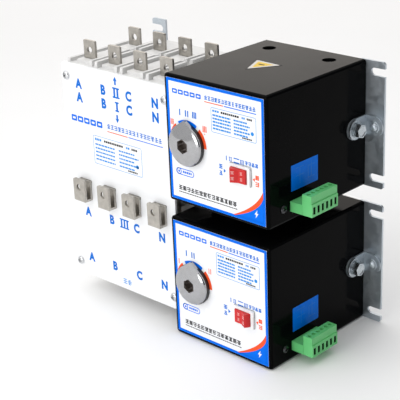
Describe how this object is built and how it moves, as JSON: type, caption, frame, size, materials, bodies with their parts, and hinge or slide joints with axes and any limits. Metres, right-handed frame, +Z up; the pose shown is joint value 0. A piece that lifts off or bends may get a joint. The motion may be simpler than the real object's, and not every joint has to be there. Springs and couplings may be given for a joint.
{
  "type": "automatic transfer switch",
  "caption": "Wall-panel changeover switch: stacked pole cases behind a white front plate, tinned terminal tabs, and black operator boxes with pointer knobs and red rockers on the right.",
  "frame": {"origin": "centre of the fixing-slot pattern on the mounting plane, which is the rear face of the brackets", "axes": "+Z up, -Y towards the front plate and knobs, +X towards the control terminals"},
  "size_m": [0.2557, 0.1269, 0.226],
  "materials": {
    "white_plastic": "smooth white moulded plate and bezels",
    "case_plastic": "grey-beige moulded insulating case",
    "tinned_copper": "dull tin plating over copper bar",
    "black_cover": "very glossy black cover",
    "printed_panel": "white printed overlay",
    "knob_metal": "polished metal",
    "bright_steel": "plain sheet steel",
    "gear_steel": "machined steel",
    "gear_plastic": "natural moulded nylon",
    "board_green": "green circuit board",
    "terminal_green": "green moulded terminal block",
    "red_rocker": "glossy red rocker",
    "zinc_steel": "bluish zinc-plated sheet steel"
  },
  "bodies": {
    "fixed_body": {"upper_cover": "black_cover", "upper_chassis": "bright_steel", "upper_panel": "printed_panel", "upper_motor": "gear_steel", "upper_circuit_board": "board_green", "upper_terminal_header": "terminal_green", "upper_rocker_bezel": "white_plastic", "upper_right_bracket": "zinc_steel", "upper_angle_strap": "zinc_steel", "upper_hex_bolt": "zinc_steel", "upper_left_bracket": "zinc_steel", "upper_case_front": "case_plastic", "upper_case_rear": "case_plastic", "lower_cover": "black_cover", "lower_chassis": "bright_steel", "lower_panel": "printed_panel", "lower_motor": "gear_steel", "lower_circuit_board": "board_green", "lower_terminal_header": "terminal_green", "lower_rocker_bezel": "white_plastic", "lower_right_bracket": "zinc_steel", "lower_angle_strap": "zinc_steel", "lower_hex_bolt": "zinc_steel", "lower_left_bracket": "zinc_steel", "lower_case_front": "case_plastic", "lower_case_rear": "case_plastic", "front_plate": "white_plastic", "terminal_I_A": "tinned_copper", "terminal_II_A": "tinned_copper", "terminal_III_A": "tinned_copper", "load_terminal_A": "tinned_copper", "link_bar_A": "tinned_copper", "terminal_I_B": "tinned_copper", "terminal_II_B": "tinned_copper", "terminal_III_B": "tinned_copper", "load_terminal_B": "tinned_copper", "link_bar_B": "tinned_copper", "terminal_I_C": "tinned_copper", "terminal_II_C": "tinned_copper", "terminal_III_C": "tinned_copper", "load_terminal_C": "tinned_copper", "link_bar_C": "tinned_copper", "terminal_I_N": "tinned_copper", "terminal_II_N": "tinned_copper", "terminal_III_N": "tinned_copper", "load_terminal_N": "tinned_copper", "link_bar_N": "tinned_copper"},
    "upper_knob_shaft": {"upper_knob": "knob_metal", "upper_drive_gear": "gear_plastic"},
    "upper_contact_shaft": {"upper_contact_rotor": "gear_steel"},
    "upper_motor_shaft": {"upper_pinion": "gear_steel"},
    "upper_rocker_key": {"upper_rocker": "red_rocker"},
    "upper_control_plug": {"upper_terminal_plug": "terminal_green"},
    "lower_knob_shaft": {"lower_knob": "knob_metal", "lower_drive_gear": "gear_plastic"},
    "lower_contact_shaft": {"lower_contact_rotor": "gear_steel"},
    "lower_motor_shaft": {"lower_pinion": "gear_steel"},
    "lower_rocker_key": {"lower_rocker": "red_rocker"},
    "lower_control_plug": {"lower_terminal_plug": "terminal_green"}
  },
  "joints": [
    {"name": "upper_knob_turn", "type": "hinge", "parent": "fixed_body", "child": "upper_knob_shaft", "pos_m": [0.0293, -0.1203, 0.0579], "axis": [0, 1, 0], "range_deg": [-60, 60]},
    {"name": "upper_contact_turn", "type": "hinge", "parent": "fixed_body", "child": "upper_contact_shaft", "pos_m": [0.0293, -0.0608, 0.0579], "axis": [1, 0, 0], "range_deg": [-60, 60]},
    {"name": "upper_pinion_spin", "type": "hinge", "parent": "fixed_body", "child": "upper_motor_shaft", "pos_m": [0.05138, -0.0868, 0.07065], "axis": [0, 1, 0], "range_deg": [-144, 144]},
    {"name": "upper_rocker_press", "type": "hinge", "parent": "fixed_body", "child": "upper_rocker_key", "pos_m": [0.0825, -0.121, 0.0458], "axis": [0, 0, 1], "range_deg": [-28, 0]},
    {"name": "upper_plug_pull", "type": "slide", "parent": "fixed_body", "child": "upper_control_plug", "axis": [1, 0, 0], "range_m": [0, 0.012]},
    {"name": "lower_knob_turn", "type": "hinge", "parent": "fixed_body", "child": "lower_knob_shaft", "pos_m": [0.0293, -0.1203, -0.0601], "axis": [0, 1, 0], "range_deg": [-60, 60]},
    {"name": "lower_contact_turn", "type": "hinge", "parent": "fixed_body", "child": "lower_contact_shaft", "pos_m": [0.0293, -0.0608, -0.0601], "axis": [1, 0, 0], "range_deg": [-60, 60]},
    {"name": "lower_pinion_spin", "type": "hinge", "parent": "fixed_body", "child": "lower_motor_shaft", "pos_m": [0.05138, -0.0868, -0.04735], "axis": [0, 1, 0], "range_deg": [-144, 144]},
    {"name": "lower_rocker_press", "type": "hinge", "parent": "fixed_body", "child": "lower_rocker_key", "pos_m": [0.0825, -0.121, -0.0722], "axis": [0, 0, 1], "range_deg": [0, 28]},
    {"name": "lower_plug_pull", "type": "slide", "parent": "fixed_body", "child": "lower_control_plug", "axis": [1, 0, 0], "range_m": [0, 0.012]}
  ],
  "couplings": [
    {"joint": "upper_contact_turn", "follows": "upper_knob_turn", "ratio": -1},
    {"joint": "upper_pinion_spin", "follows": "upper_knob_turn", "ratio": -2.4},
    {"joint": "lower_contact_turn", "follows": "lower_knob_turn", "ratio": -1},
    {"joint": "lower_pinion_spin", "follows": "lower_knob_turn", "ratio": -2.4}
  ]
}
